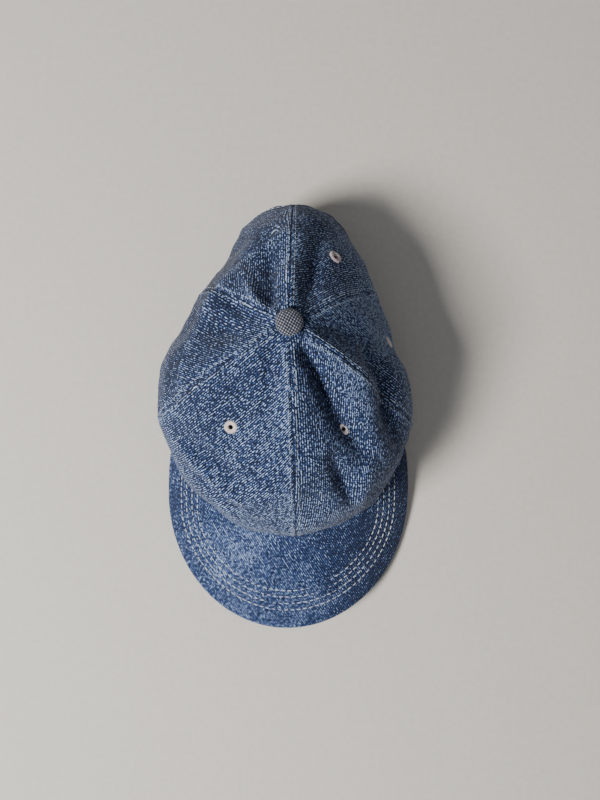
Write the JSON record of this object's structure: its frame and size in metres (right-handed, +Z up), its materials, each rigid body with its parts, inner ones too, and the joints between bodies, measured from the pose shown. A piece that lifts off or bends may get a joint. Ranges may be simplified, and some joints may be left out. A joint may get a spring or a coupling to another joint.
{
  "type": "baseball cap",
  "caption": "Soft six-panel denim cap with a bent brim, covered top button, stitched eyelets, sweatband and a back strap with a clamp buckle.",
  "frame": {"origin": "on the ground under the middle of the cap's box", "axes": "+Z up through the crown, brim towards -Y, +X to the right seen from above with the brim at the bottom"},
  "size_m": [0.166, 0.2809, 0.1223],
  "materials": {
    "denim": "washed denim twill",
    "white_thread": "matt stitched thread",
    "cotton_twill": "matt cotton twill",
    "button_cloth": "coarse faded weave",
    "brim_plastic": "plain sheet",
    "button_plastic": "moulded",
    "rivet_metal": "satin",
    "antique_brass": "aged and rubbed"
  },
  "bodies": {
    "cap": {"front_right_panel": "denim", "side_right_panel": "denim", "back_right_panel": "denim", "back_left_panel": "denim", "side_left_panel": "denim", "front_left_panel": "denim", "brim_top_cover": "denim", "brim_under_cover": "denim", "front_right_eyelet": "white_thread", "side_right_eyelet": "white_thread", "back_right_eyelet": "white_thread", "back_left_eyelet": "white_thread", "side_left_eyelet": "white_thread", "front_left_eyelet": "white_thread", "front_seam_tape": "cotton_twill", "front_right_seam_tape": "cotton_twill", "back_right_seam_tape": "cotton_twill", "back_seam_tape": "cotton_twill", "back_left_seam_tape": "cotton_twill", "front_left_seam_tape": "cotton_twill", "sweatband": "cotton_twill", "back_opening_binding": "cotton_twill", "buckle_tab": "cotton_twill", "brim_board": "brim_plastic", "button_cover": "button_cloth", "button_core": "button_plastic", "button_rivet": "rivet_metal", "button_washer": "rivet_metal", "buckle_frame": "antique_brass", "buckle_pin": "antique_brass"},
    "strap": {"adjuster_strap": "denim"},
    "lever": {"buckle_lever": "antique_brass"}
  },
  "joints": [
    {"name": "strap_adjust", "type": "hinge", "parent": "cap", "child": "strap", "pos_m": [0, 0.08832, 0.01898], "axis": [0, -0.1392, -0.9903], "range_deg": [0, 28]},
    {"name": "lever_open", "type": "hinge", "parent": "cap", "child": "lever", "pos_m": [0.01055, 0.13357, 0.01262], "axis": [0, 0.1392, 0.9903], "range_deg": [0, 100]}
  ]
}
